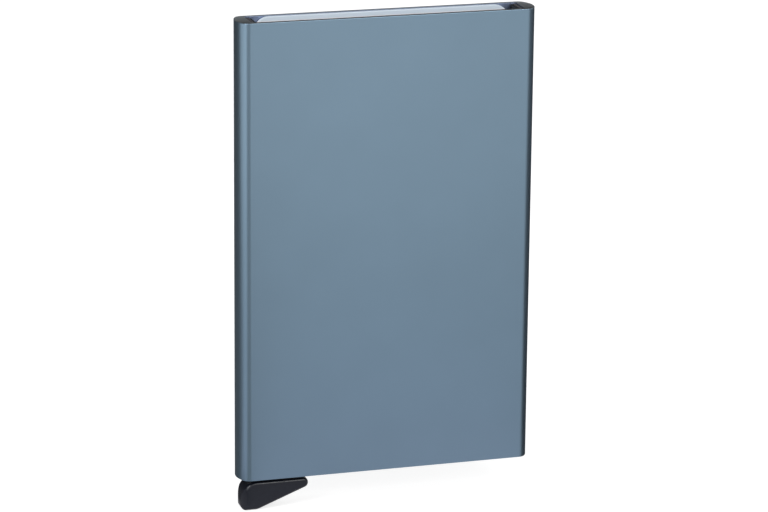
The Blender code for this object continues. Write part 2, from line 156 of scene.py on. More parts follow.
# Colours, linear, and the place of each along its noise, height or depth
FACE_COLOUR = (0.272, 0.393, 0.503)
FACE_CLOUDING = 0.015
# The bay's anodised blue, darkened with painted shade
BAY_COLOUR_WITH_PAINTED_SHADE = (0.250, 0.305, 0.440)
BAY_STREAKING = 0.15
RIM_TONES = [(0.25, (0.450, 0.520, 0.565)), (0.75, (0.610, 0.680, 0.725))]
# Painted shade: share of the rim colour that is left at the front
RIM_FRONT_SHADE_SHARE = 0.20
LEVER_TONES = [(0.30, (0.0048, 0.0066, 0.0125)), (0.70, (0.0072, 0.0094, 0.0170))]
CAP_TONES = [(0.30, (0.018, 0.018, 0.019)), (0.70, (0.030, 0.030, 0.032))]
PIN_TONES = [(0.30, (0.52, 0.52, 0.54)), (0.70, (0.64, 0.64, 0.66))]
FOAM_TONES = [(0.05, (0.012, 0.012, 0.013)), (0.60, (0.050, 0.050, 0.055))]
# Near-black velour with painted blue light from the anodised bay
VELOUR_TONES_WITH_PAINTED_BLUE = [(0.35, (0.002, 0.006, 0.010)), (0.58, (0.010, 0.018, 0.026)),
                (0.80, (0.062, 0.072, 0.078))]
# White card with painted blue light from the anodised bay, strongest at the top
CARD_WHITE_AND_PAINTED_BLUE = [(0.0, (0.90, 0.90, 0.92)), (1.0, (0.74, 0.84, 0.93))]
WHITE = (1.0, 1.0, 1.0, 1.0)

# Floor and surroundings. The metal mirrors a floor of its own: a painted reflection that glows in
# tones from near to far, with painted shade close to the object and towards the right.
FLOOR_SIZE = 8.0
FLOOR_COLOUR = (0.60, 0.60, 0.60)
FLOOR_LIFT = 0.70
WORLD_GLOW = 0.55
PAINTED_REFLECTION_REACH = 0.45
PAINTED_REFLECTION_TONES = [(0.07, (0.525, 0.520, 0.563)), (0.18, (0.530, 0.540, 0.578)),
                  (0.42, (0.565, 0.580, 0.593)), (0.56, (0.710, 0.720, 0.735)),
                  (0.70, (0.970, 0.975, 0.980)), (0.82, (1.0, 1.0, 1.0))]
# Painted shade towards the right in the floor's painted reflection
RIGHT_SHADE_START = 0.03
RIGHT_SHADE_END = 0.26
RIGHT_SHADE_LEAST = 0.48

# Soft square lights: name, place, width and power in watts
LIGHTS = [("key_left", (-0.9, -0.7, 0.9), 0.6, 8.5),
          ("fill_right", (0.36, -1.15, 0.62), 0.5, 4.7)]

# Dark cards on the floor, each round one end of the object, seen only in gloss as painted dark
# reflections. A ring is its distance from that end's middle and the share of the card's turn that it
# has.
FLAG_LIFT = 0.0004
FLAG_STEP = 4
FLAG_RINGS = [(0.005, 0.0), (0.10, 0.2), (0.28, 0.6), (0.45, 1.0), (1.6, 1.0)]
# Rings of the card by the lever, which puts painted shade into the lever's gloss
LEVER_SHADE_FLAG_RINGS = [(0.0112, 0.0), (0.0185, 0.0)]

# Name, side, start and end in degrees left of the front, grey, turn of the start, rings
FLOOR_FLAGS = [("camera_flag", -1, 42, -11, 0.26, 0, FLAG_RINGS),
               ("left_rear_flag", -1, 105, 178, 0.13, 10, FLAG_RINGS),
               ("right_front_flag", 1, -24, -46, 0.40, 0, FLAG_RINGS),
               ("right_flag", 1, -46, -160, 0.03, 0, FLAG_RINGS),
               # The card by the lever is painted shade, seen in the lever's gloss
               ("lever_shade_flag", -1, 44, 104, 0.02, 0, LEVER_SHADE_FLAG_RINGS)]

# Upright dark cards, seen only in gloss as painted dark reflections: name, two places on the floor,
# low and high edge, grey
STANDING_FLAGS = [("rear_flag", (-0.05, 0.55), (1.2, 0.55), 0.05, 0.35, 0.28),
                  ("rear_high_flag", (-0.05, 0.55), (1.2, 0.55), 0.35, 1.40, 0.02),
                  ("rear_left_flag", (-1.2, 0.55), (-0.05, 0.55), 0.0, 1.40, 0.02),
                  ("left_high_flag", (-0.9, -0.35), (-0.9, 0.55), 0.05, 2.60, 0.02)]

HOUSING_LOW, HOUSING_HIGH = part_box("housing")
HALF_WIDTH = HOUSING_HIGH.x
HALF_DEPTH = HOUSING_HIGH.y
BAY_HALF_WIDTH = HALF_WIDTH - END_WALL
BAY_HALF_DEPTH = HALF_DEPTH - FACE_WALL
LEVER_LOW, LEVER_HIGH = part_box("ejector_lever")
LEVER_DEPTH = LEVER_HIGH.y - LEVER_LOW.y
SEAT_HEIGHT = LEVER_HIGH.z - PIVOT[2]


# Geometry helpers

def point_at(centre, radius, degrees):
    angle = math.radians(degrees)
    return centre[0] + radius * math.cos(angle), centre[1] + radius * math.sin(angle)


def arc(centre, radius, start, end, steps):
    """Points of an arc with its last one left out. Angles are in degrees."""
    return [point_at(centre, radius, start + (end - start) * index / steps)
            for index in range(steps)]


def rounded_rectangle(half_x, half_y, radius, steps):
    """Outline of a rectangle with round corners, centred on the origin."""
    outline = []
    x = half_x - radius
    y = half_y - radius
    for turn, centre in enumerate([(x, -y), (x, y), (-x, y), (-x, -y)]):
        start = 90 * turn - 90
        outline += arc(centre, radius, start, start + 90, steps)
        outline.append(point_at(centre, radius, start + 90))
    return outline


def housing_outline(inset):
    """Outside of the extrusion, drawn in by an inset: flat faces and ends made of three arcs."""
    rise = HALF_DEPTH - EDGE_RADIUS
    reach = END_ARC_RADIUS - EDGE_RADIUS
    meet = math.degrees(math.asin(rise / reach))
    end_x = HALF_WIDTH - END_ARC_RADIUS
    edge_x = end_x + reach * math.cos(math.radians(meet))
    right = arc((edge_x, -rise), EDGE_RADIUS - inset, -90, -meet, ARC_STEPS)
    right += arc((end_x, 0), END_ARC_RADIUS - inset, -meet, meet, ARC_STEPS)
    right += arc((edge_x, rise), EDGE_RADIUS - inset, meet, 90, ARC_STEPS)
    right.append((edge_x, HALF_DEPTH - inset))
    return right + [(-x, -y) for x, y in right]


def bay_outline(spread):
    """Outline of the bay, widened by a spread."""
    return rounded_rectangle(BAY_HALF_WIDTH + spread, BAY_HALF_DEPTH + spread,
                             BAY_CORNER_RADIUS + spread, BAY_CORNER_STEPS)


def ring(solid, outline, height):
    return [solid.verts.new((x, y, height)) for x, y in outline]


def skin(solid, loops, material_index=0):
    """Join loops of equal count with quads."""
    for lower, upper in zip(loops, loops[1:]):
        for index in range(len(lower)):
            following = (index + 1) % len(lower)
            face = solid.faces.new([lower[index], lower[following],
                                    upper[following], upper[index]])
            face.material_index = material_index


def closed_skin(solid, loops):
    """Join loops with quads and close the first and the last."""
    skin(solid, loops)
    solid.faces.new(loops[0])
    solid.faces.new(loops[-1])


def rim_heights(low, high, rounding, steps):
    """Height and inset of each loop of a wall with rounded rims."""
    levels = []
    for step in range(steps, -1, -1):
        angle = math.pi / 2 * step / steps
        levels.append((low + rounding * (1 - math.sin(angle)), rounding * (1 - math.cos(angle))))
    return levels + [(low + high - height, inset) for height, inset in reversed(levels)]


def loop_edges(solid, verts):
    return [solid.edges.get((verts[i], verts[(i + 1) % len(verts)])) for i in range(len(verts))]


def to_object(name, solid, sharp_angle=SHARP_ANGLE):
    """Turn a finished bmesh into a smooth-shaded object in the frame."""
    bmesh.ops.recalc_face_normals(solid, faces=solid.faces[:])
    mesh = bpy.data.meshes.new(name)
    solid.to_mesh(mesh)
    solid.free()
    piece = bpy.data.objects.new(name, mesh)
    bpy.context.scene.collection.objects.link(piece)
    smooth(piece, sharp_angle)
    return piece


def smooth(piece, sharp_angle):
    """Smooth shading that keeps large flats flat and true corners sharp."""
    piece.data.shade_smooth()
    piece.data.set_sharp_from_angle(angle=math.radians(sharp_angle))
    weighted = piece.modifiers.new("even_normals", "WEIGHTED_NORMAL")
    weighted.weight = 100
    weighted.keep_sharp = True


def bake_modifiers(piece):
    """Replace a piece's mesh by what its modifiers make of it."""
    graph = bpy.context.evaluated_depsgraph_get()
    made = bpy.data.meshes.new_from_object(piece.evaluated_get(graph))
    piece.modifiers.clear()
    piece.data = made


def combine(target, tool, operation):
    modifier = target.modifiers.new(tool.name, "BOOLEAN")
    modifier.operation = operation
    modifier.solver = "EXACT"
    modifier.object = tool


def dress(piece, body, slot, node, *materials):
    """Give a new piece its materials, in the order of its faces' indices, hang it on its body and
    hide the imported node it stands for.
    """
    for material in materials:
        piece.data.materials.append(material)
    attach(piece, body)
    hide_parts(node)
    return piece


# Materials

def new_material(name):
    """Material with a Principled shader and the object's own coordinates, in metres."""
    material = bpy.data.materials.new(name)
    material.use_nodes = True
    nodes = material.node_tree.nodes
    shader = nodes["Principled BSDF"]
    place = nodes.new("ShaderNodeTexCoord")
    return material, material.node_tree, shader, place.outputs["Object"]


def add_noise(tree, place, scale, detail, stretch=(1.0, 1.0, 1.0)):
    """Noise whose grain is about one over the scale, in metres, stretched along the axes."""
    mapping = tree.nodes.new("ShaderNodeMapping")
    mapping.inputs["Scale"].default_value = stretch
    tree.links.new(place, mapping.inputs["Vector"])
    grain = tree.nodes.new("ShaderNodeTexNoise")
    grain.inputs["Scale"].default_value = scale
    grain.inputs["Detail"].default_value = detail
    tree.links.new(mapping.outputs["Vector"], grain.inputs["Vector"])
    return grain.outputs["Fac"]


def add_ramp(tree, value, stops):
    ramp = tree.nodes.new("ShaderNodeValToRGB")
    elements = ramp.color_ramp.elements
    while len(elements) < len(stops):
        elements.new(0.5)
    for element, (position, colour) in zip(elements, stops):
        element.position = position
        element.color = (*colour, 1.0)
    tree.links.new(value, ramp.inputs["Fac"])
    return ramp.outputs["Color"]


def add_range(tree, value, low, high, start=0.0, end=1.0):
    """Spread a value from start..end over low..high."""
    spread = tree.nodes.new("ShaderNodeMapRange")
    spread.inputs["From Min"].default_value = start
    spread.inputs["From Max"].default_value = end
    spread.inputs["To Min"].default_value = low
    spread.inputs["To Max"].default_value = high
    tree.links.new(value, spread.inputs["Value"])
    return spread.outputs["Result"]


def add_bump(tree, shader, value, strength, distance):
    bump = tree.nodes.new("ShaderNodeBump")
    bump.inputs["Strength"].default_value = strength
    bump.inputs["Distance"].default_value = distance
    tree.links.new(value, bump.inputs["Height"])
    tree.links.new(bump.outputs["Normal"], shader.inputs["Normal"])


def axis_of(tree, vector, axis):
    """One coordinate of a vector socket."""
    split = tree.nodes.new("ShaderNodeSeparateXYZ")
    tree.links.new(vector, split.inputs["Vector"])
    return split.outputs[axis]


def calculate(tree, operation, first, second=0.0):
    """Math node over a socket and a socket or number."""
    node = tree.nodes.new("ShaderNodeMath")
    node.operation = operation
    tree.links.new(first, node.inputs[0])
    if isinstance(second, float):
        node.inputs[1].default_value = second
    else:
        tree.links.new(second, node.inputs[1])
    return node.outputs["Value"]


def finish(tree, shader, colour, grain, roughness, metallic=0.0):
    """Give a shader its colour and metal share, and let its roughness follow a grain."""
    tree.links.new(colour, shader.inputs["Base Color"])
    tree.links.new(add_range(tree, grain, *roughness), shader.inputs["Roughness"])
    shader.inputs["Metallic"].default_value = metallic


def varied(colour, share):
    """Two tones of a colour, a share darker and a share lighter."""
    return [tuple(channel * factor for channel in colour) for factor in (1 - share, 1 + share)]


def anodised_face():
    """Blasted and anodised outside: satin, with a fine grain and the faintest clouding."""
    material, tree, shader, place = new_material("anodised_aluminium")
    dark, light = varied(FACE_COLOUR, FACE_CLOUDING)
    clouds = add_noise(tree, place, scale=90.0, detail=2.0)
    grain = add_noise(tree, place, scale=6500.0, detail=2.0)
    colour = add_ramp(tree, clouds, [(0.30, dark), (0.70, light)])
    finish(tree, shader, colour, grain, roughness=(0.27, 0.35), metallic=1.0)
    add_bump(tree, shader, grain, strength=0.10, distance=0.00001)
    return material


def anodised_bay():
    """Inside of the extrusion: the anodised blue darkened by painted shade, with the fine drawn lines
    of the die.
    """
    material, tree, shader, place = new_material("anodised_bay")
    dark, light = varied(BAY_COLOUR_WITH_PAINTED_SHADE, BAY_STREAKING)
    lines = add_noise(tree, place, scale=2600.0, detail=2.0, stretch=(1.0, 1.0, 0.015))
    colour = add_ramp(tree, lines, [(0.25, dark), (0.75, light)])
    finish(tree, shader, colour, lines, roughness=(0.38, 0.52), metallic=1.0)
    add_bump(tree, shader, lines, strength=0.25, distance=0.00002)
    return material


def anodised_rim():
    """Cut ends of the extrusion, with the saw's fine cross lines, and painted shade that darkens them
    towards the front.
    """
    material, tree, shader, place = new_material("anodised_rim")
    lines = add_noise(tree, place, scale=1800.0, detail=3.0, stretch=(0.10, 1.0, 1.0))
    depth = axis_of(tree, place, "Y")
    # Painted shade: the rim colour is scaled down towards the front
    front_shade = tree.nodes.new("ShaderNodeVectorMath")
    front_shade.operation = "SCALE"
    tree.links.new(add_ramp(tree, lines, RIM_TONES), front_shade.inputs[0])
    tree.links.new(add_range(tree, depth, RIM_FRONT_SHADE_SHARE, 1.0, -HALF_DEPTH, HALF_DEPTH),
                   front_shade.inputs["Scale"])
    finish(tree, shader, front_shade.outputs["Vector"], lines, roughness=(0.30, 0.42), metallic=1.0)
    add_bump(tree, shader, lines, strength=0.20, distance=0.00002)
    return material


def lever_plastic():
    """Moulded near-black plastic with a soft sheen."""
    material, tree, shader, place = new_material("lever_plastic")
    grain = add_noise(tree, place, scale=3200.0, detail=3.0)
    finish(tree, shader, add_ramp(tree, grain, LEVER_TONES), grain, roughness=(0.28, 0.36))
    add_bump(tree, shader, grain, strength=0.10, distance=0.00002)
    return material


def cap_plastic():
    """Black cap with a coarser moulded texture."""
    material, tree, shader, place = new_material("cap_plastic")
    grain = add_noise(tree, place, scale=1900.0, detail=4.0)
    finish(tree, shader, add_ramp(tree, grain, CAP_TONES), grain, roughness=(0.48, 0.62))
    add_bump(tree, shader, grain, strength=0.25, distance=0.00003)
    return material


def pin_steel():
    """Turned steel: fine rings round the pin."""
    material, tree, shader, place = new_material("pin_steel")
    rings = add_noise(tree, place, scale=2400.0, detail=2.0, stretch=(0.02, 1.0, 0.02))
    colour = add_ramp(tree, rings, PIN_TONES)
    finish(tree, shader, colour, rings, roughness=(0.22, 0.34), metallic=1.0)
    return material


def foam():
    """Closed-cell rubber foam."""
    material, tree, shader, place = new_material("foam")
    cells = tree.nodes.new("ShaderNodeTexVoronoi")
    cells.inputs["Scale"].default_value = 4500.0
    tree.links.new(place, cells.inputs["Vector"])
    distance = cells.outputs["Distance"]
    tree.links.new(add_ramp(tree, distance, FOAM_TONES), shader.inputs["Base Color"])
    add_bump(tree, shader, distance, strength=0.5, distance=0.00008)
    shader.inputs["Roughness"].default_value = 0.92
    return material


def velour():
    """Short dense pile, near black with a painted blue cast of light from the anodised bay, and a
    faint sheen on its tips.
    """
    material, tree, shader, place = new_material("velour")
    tufts = add_noise(tree, place, scale=2600.0, detail=4.0)
    tree.links.new(add_ramp(tree, tufts, VELOUR_TONES_WITH_PAINTED_BLUE), shader.inputs["Base Color"])
    add_bump(tree, shader, tufts, strength=0.6, distance=0.00008)
    shader.inputs["Roughness"].default_value = 0.95
    shader.inputs["Sheen Weight"].default_value = 0.10
    shader.inputs["Sheen Roughness"].default_value = 0.5
    return material


def card_plastic():
    """Laminated blank card: white below, with painted blue light from the anodised bay that is
    strongest along its top band.
    """
    material, tree, shader, place = new_material("card_plastic")
    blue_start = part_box("card")[1].z - PAINTED_BLUE_BAND
    height = axis_of(tree, place, "Z")
    share = add_range(tree, height, 0.0, 1.0, blue_start - PAINTED_BLUE_BLEND, blue_start)
    grain = add_noise(tree, place, scale=1500.0, detail=3.0)
    finish(tree, shader, add_ramp(tree, share, CARD_WHITE_AND_PAINTED_BLUE), grain, roughness=(0.28, 0.36))
    add_bump(tree, shader, grain, strength=0.06, distance=0.00001)
    return material


# Pieces

def build_housing():
    """Extruded sleeve with rounded rims: outside, cut ends and drawn bay."""
    solid = bmesh.new()
    rows = rim_heights(HOUSING_LOW.z, HOUSING_HIGH.z, RIM_ROUNDING, RIM_STEPS)
    outer = [ring(solid, housing_outline(inset), height) for height, inset in rows]
    inner = [ring(solid, bay_outline(inset), height) for height, inset in rows]
    skin(solid, outer, 0)
    skin(solid, inner, 1)
    for end in (0, -1):
        edges = loop_edges(solid, outer[end]) + loop_edges(solid, inner[end])
        made = bmesh.ops.triangle_fill(solid, use_beauty=True, edges=edges)
        for face in made["geom"]:
            if isinstance(face, bmesh.types.BMFace):
                face.material_index = 2
    housing = to_object("housing_sleeve", solid, sharp_angle=40)
    return dress(housing, "holder", "anodised_aluminium", "housing",
                 anodised_face(), anodised_bay(), anodised_rim())


def touching_centre(outer, outer_radius, radius, height):
    """Centre, at a height, of an arc that touches a larger one from inside on its left."""
    reach = outer_radius - radius
    return outer[0] - math.sqrt(reach ** 2 - (height - outer[1]) ** 2), height


def way_between(start, end):
    """Direction from one point to another, in degrees from 0 to 360."""
    return math.degrees(math.atan2(end[1] - start[1], end[0] - start[0])) % 360


def trigger_outline():
    """Trigger's outline: points with their outward directions.

    It runs from the shoulder down the bowed end, round the nose and along the slope to the tip.
    """
    left = TRIGGER_INSET - HALF_WIDTH
    top = HOUSING_LOW.z - TRIGGER_GAP
    head = (left + top / 2, top / 2)
    bow_height = BOW_HEIGHT_SHARE * top
    bow_radius = top - bow_height + BOW_EXCESS
    bow = (left + bow_radius, bow_height)
    shoulder = touching_centre(bow, bow_radius, SHOULDER_RADIUS, top - SHOULDER_RADIUS)
    nose = touching_centre(bow, bow_radius, NOSE_RADIUS, NOSE_RADIUS)
    tip = (left + TRIGGER_LENGTH - TIP_RADIUS, top - TIP_RADIUS)
    run = (tip[0] - head[0], tip[1] - head[1])
    widening = math.asin((top / 2 - TIP_RADIUS) / math.hypot(*run))
    slope = math.degrees(math.atan2(run[1], run[0]) + widening)
    upper = way_between(bow, shoulder)
    lower = way_between(bow, nose)
    stretches = [(shoulder, SHOULDER_RADIUS, 90, upper, NOSE_STEPS),
                 (bow, bow_radius, upper, lower, NOSE_STEPS),
                 (nose, NOSE_RADIUS, lower, 270, NOSE_STEPS),
                 (head, top / 2, 270, 270 + slope, NOSE_STEPS // 2),
                 (tip, TIP_RADIUS, 270 + slope, 450, TIP_STEPS)]
    outline = []
    for centre, radius, start, end, steps in stretches:
        for step in range(steps + 1):
            angle = math.radians(start + (end - start) * step / steps)
            way = (math.cos(angle), math.sin(angle))
            point = (centre[0] + radius * way[0], centre[1] + radius * way[1])
            if not outline or math.dist(point, outline[-1][0]) > SAME_PLACE:
                outline.append((point, way))
    return outline


def trigger_levels(fillet):
    """Depth and inset of each slice through the trigger, from front to back, for a fillet."""
    half = LEVER_DEPTH / 2
    front = []
    for turn in range(FILLET_STEPS + 1):
        angle = math.pi / 2 * turn / FILLET_STEPS
        front.append((fillet * (1 - math.cos(angle)) - half, fillet * (1 - math.sin(angle))))
    start = fillet - half
    middle = [(start - 2 * start * step / BULGE_STEPS, 0.0) for step in range(1, BULGE_STEPS)]
    return front + middle + [(-y, inset) for y, inset in reversed(front)]


def end_draw(y):
    """How far the trigger's outer end draws in at a depth: seen from above, the end is an arc."""
    half = LEVER_DEPTH / 2
    radius = (half ** 2 + TRIGGER_BULGE ** 2) / (2 * TRIGGER_BULGE)
    return radius - math.sqrt(max(0.0, radius ** 2 - y ** 2))


def build_trigger():
    """Finger piece: its outline swept through the depth, with filleted faces and a round end."""
    outline = trigger_outline()
    left = min(point[0] for point, way in outline)
    columns = []
    for point, way in outline:
        upward = max(0.0, way[1])
        fillet = TRIGGER_FILLET + (TRIGGER_TOP_FILLET - TRIGGER_FILLET) * upward ** 2
        column = []
        for y, inset in trigger_levels(fillet):
            x = max(point[0] - way[0] * inset, left + end_draw(y))
            column.append((x, y, point[1] - way[1] * inset))
        columns.append(column)
    solid = bmesh.new()
    closed_skin(solid, [[solid.verts.new(spot) for spot in level] for level in zip(*columns)])
    return to_object("lever_moulding", solid)


def side_prism(name, outline, depth):
    """Solid from an outline in X and Z about the pivot, centred on the middle of the depth."""
    solid = bmesh.new()
    loops = []
    for y in (-depth / 2, depth / 2):
        loops.append([solid.verts.new((PIVOT[0] + x, y, PIVOT[2] + z)) for x, z in outline])
    closed_skin(solid, loops)
    return to_object(name, solid)


def arm_underside(x):
    """Height over the pivot of the arm's underside, which rises towards the tip."""
    share = (x - ARM_START_REACH) / (ARM_REACH - ARM_START_REACH)
    return SEAT_HEIGHT - ARM_ROOT_HEIGHT + (ARM_ROOT_HEIGHT - ARM_TIP_HEIGHT) * share


def build_neck():
    """Neck through the slot, boss round the pin and root of the arm."""
    top = SEAT_HEIGHT - ROOT_STEP
    under = arm_underside(ARM_START_REACH) + ROOT_STEP
    trigger_top = HOUSING_LOW.z - TRIGGER_GAP - PIVOT[2]
    sunk = trigger_top - TIP_RADIUS
    far = ARM_START_REACH + OVERRUN
    away = math.hypot(ROOT_SHOULDER, top)
    touch = math.degrees(math.atan2(top, ROOT_SHOULDER) + math.acos(BOSS_RADIUS / away))
    foot = (BOSS_RADIUS + NECK_FILLET, trigger_top + NECK_FILLET)
    root = (BOSS_RADIUS + ROOT_FILLET, under - ROOT_FILLET)
    outline = [(-BOSS_RADIUS, sunk), (foot[0], sunk)]
    outline += arc(foot, NECK_FILLET, 270, 180, NECK_STEPS)
    outline.append((BOSS_RADIUS, foot[1]))
    outline += arc(root, ROOT_FILLET, 180, 90, NECK_STEPS)
    outline += [(root[0], under), (far, under), (far, top), (ROOT_SHOULDER, top)]
    outline += arc((0, 0), BOSS_RADIUS, touch, 180, BOSS_STEPS)
    outline.append((-BOSS_RADIUS, 0))
    return side_prism("neck_guide", outline, NECK_DEPTH)


def build_arm():
    """Stepped arm, one step for each card."""
    half = LEVER_DEPTH / 2
    tread = LEVER_DEPTH / STEP_COUNT
    stairs = [(ARM_START_REACH, half), (ARM_START_REACH, -half)]
    for step in range(STEP_COUNT):
        reach = ARM_REACH - STEP_LENGTH * (STEP_COUNT - 1 - step)
        stairs.append((reach, tread * step - half))
        stairs.append((reach, tread * (step + 1) - half))
    solid = bmesh.new()
    lower = [solid.verts.new((PIVOT[0] + x, y, PIVOT[2] + arm_underside(x))) for x, y in stairs]
    upper = [solid.verts.new((PIVOT[0] + x, y, PIVOT[2] + SEAT_HEIGHT)) for x, y in stairs]
    closed_skin(solid, [lower, upper])
    noses = [solid.edges.get((upper[2 + 2 * i], upper[3 + 2 * i])) for i in range(STEP_COUNT)]
    bmesh.ops.bevel(solid, geom=noses, offset=STEP_NOSE_RADIUS, segments=STEP_NOSE_STEPS,
                    profile=0.5, affect="EDGES")
    return to_object("arm_guide", solid)


def build_bore():
    circle = arc((0, 0), PIN_RADIUS + BORE_CLEARANCE, 0, 360, BORE_STEPS)
    return side_prism("bore_guide", circle, NECK_DEPTH + 2 * OVERRUN)


def build_lever():
    """The whole lever as one moulding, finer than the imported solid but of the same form."""
    lever = build_trigger()
    lever.modifiers.clear()
    guides = [(build_neck(), "UNION"), (build_arm(), "UNION"), (build_bore(), "DIFFERENCE")]
    for guide, operation in guides:
        combine(lever, guide, operation)
    bake_modifiers(lever)
    for guide, operation in guides:
        bpy.data.objects.remove(guide, do_unlink=True)
    lever.data.materials.clear()
    smooth(lever, sharp_angle=32)
    return dress(lever, "lever", "lever_plastic", "ejector_lever", lever_plastic())


def build_card():
    """Blank card with softened laminate edges."""
    low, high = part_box("card")
    middle = (low + high) / 2
    half = (high - low) / 2
    solid = bmesh.new()
    loops = []
    for y, inset in rim_heights(low.y, high.y, CARD_EDGE_ROUNDING, CARD_EDGE_STEPS):
        outline = rounded_rectangle(half.x - inset, half.z - inset, CARD_CORNER_RADIUS - inset,
                                    CARD_CORNER_STEPS)
        loops.append([solid.verts.new((middle.x + x, y, middle.z + z)) for x, z in outline])
    closed_skin(solid, loops)
    card = to_object("card_blank", solid, sharp_angle=50)
    return dress(card, "card", "card_plastic", "card", card_plastic())


def strip_heights(low, high):
    """Levels along a strip, close together where it shows in the mouth."""
    heights = [low]
    while heights[-1] < high - DENSE_ZONE - LOOSE_STEP:
        heights.append(heights[-1] + LOOSE_STEP)
    while heights[-1] < high - LONGEST_LAST_STEP:
        heights.append(heights[-1] + DENSE_STEP)
    return heights + [high]


def add_fibre(solid, root, way, length, rng):
    """One thin pointed fibre."""
    across = way.orthogonal().normalized() * FIBRE_RADIUS
    turn = Matrix.Rotation(rng.uniform(0, math.tau), 4, way)
    base = []
    for index in range(3):
        spin = Matrix.Rotation(math.tau * index / 3, 4, way)
        base.append(solid.verts.new(root + spin @ (turn @ across)))
    tip = solid.verts.new(root + way * length)
    for index in range(3):
        solid.faces.new([base[index], base[(index + 1) % 3], tip])


def soft_strip(solid, low, high, rounding, grain, unevenness):
    """Closed strip with soft edges and an uneven skin, drawn in from its box by its unevenness."""
    middle = (low + high) / 2
    half = (high - low) / 2
    loops = []
    for height in strip_heights(low.z + unevenness, high.z - unevenness):
        to_end = min(height - low.z, high.z - height) - unevenness
        draw = unevenness + rounding / 2 * max(0.0, 1.0 - to_end / rounding)
        loop = []
        for x, y in rounded_rectangle(half.x - draw, half.y - draw, rounding, STRIP_CORNER_STEPS):
            spot = Vector((middle.x + x, middle.y + y, height))
            loop.append(solid.verts.new(spot + noise.noise_vector(spot * grain) * unevenness))
        loops.append(loop)
    closed_skin(solid, loops)


def build_foam(node, name):
    """Rubber foam strip behind the velour: soft edges and the dimpled skin of cut cells."""
    low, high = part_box(node)
    solid = bmesh.new()
    soft_strip(solid, low, high, FOAM_ROUNDING, FOAM_GRAIN, FOAM_UNEVENNESS)
    strip = to_object(name, solid, sharp_angle=60)
    return strip


def build_pile(node, name, side, rng):
    """Velour facing: a soft-edged backing with an uneven nap and standing fibres near the mouth."""
    low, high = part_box(node)
    inner = low.x if side > 0 else high.x
    backing_low = Vector(low)
    backing_high = Vector(high)
    if side > 0:
        backing_low.x += PILE_LENGTH
    else:
        backing_high.x -= PILE_LENGTH
    backing_high.z -= PILE_LENGTH
    middle = (backing_low + backing_high) / 2
    half = (backing_high - backing_low) / 2
    solid = bmesh.new()
    soft_strip(solid, backing_low, backing_high, PILE_ROUNDING, PILE_GRAIN, PILE_UNEVENNESS)
    facing = Vector((-side, 0, 0))
    face_x = backing_low.x if side > 0 else backing_high.x
    for _ in range(FACE_FIBRES):
        depth = rng.uniform(-half.y, half.y) * FACE_FIBRE_SPAN
        fall = DENSE_ZONE * rng.random() ** FACE_FIBRE_CROWDING
        lean = Vector((0, rng.gauss(0, FACE_FIBRE_LEAN),
                       rng.gauss(FACE_FIBRE_RISE, FACE_FIBRE_LEAN)))
        way = (facing + lean).normalized()
        length = abs(inner - face_x) / max(FACE_FIBRE_LEAST_REACH, abs(way.x))
        length *= rng.uniform(*FACE_FIBRE_LENGTHS)
        root = Vector((face_x, depth, backing_high.z - PILE_ROUNDING - fall))
        add_fibre(solid, root, way, length, rng)
    for _ in range(TOP_FIBRES):
        x = middle.x + rng.uniform(-half.x, half.x) * TOP_FIBRE_SPAN[0]
        y = rng.uniform(-half.y, half.y) * TOP_FIBRE_SPAN[1]
        root = Vector((x, y, backing_high.z))
        way = Vector((rng.gauss(0, TOP_FIBRE_LEAN[0]), rng.gauss(0, TOP_FIBRE_LEAN[1]), 1))
        length = PILE_LENGTH * rng.uniform(*TOP_FIBRE_LENGTHS)
        add_fibre(solid, root, way.normalized(), length, rng)
    pile = to_object(name, solid, sharp_angle=60)
    pile.modifiers.clear()
    return pile


def build_strips():
    """Both grip strips. The seeds make their uneven skins and fibres the same in every run."""
    noise.seed_set(SEED)
    rng = random.Random(SEED)
    cells = foam()
    nap = velour()
    for word, side in (("left", -1), ("right", 1)):
        strip = build_foam("foam_strip_" + word, "foam_layer_" + word)
        dress(strip, "holder", "foam", "foam_strip_" + word, cells)
        pile = build_pile("velour_facing_" + word, "velour_pile_" + word, side, rng)
        dress(pile, "holder", "velour", "velour_facing_" + word, nap)


def finish_node(name, material, softening=0.0):
    """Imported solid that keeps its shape: its own material and lightly softened edges."""
    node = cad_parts[name]
    node.data.materials.clear()
    node.data.materials.append(material)
    weld = node.modifiers.new("weld", "WELD")
    weld.merge_threshold = SAME_PLACE
    if softening:
        bevel = node.modifiers.new("soft_edges", "BEVEL")
        bevel.width = softening
        bevel.segments = 2
        bevel.limit_method = "ANGLE"
        bevel.angle_limit = math.radians(SOFTENED_ANGLE)


# Stage

def plain_material(name, colour, roughness=0.9):
    material = bpy.data.materials.new(name)
    material.use_nodes = True
    shader = material.node_tree.nodes["Principled BSDF"]
    shader.inputs["Base Color"].default_value = (*colour, 1.0)
    shader.inputs["Roughness"].default_value = roughness
    return material


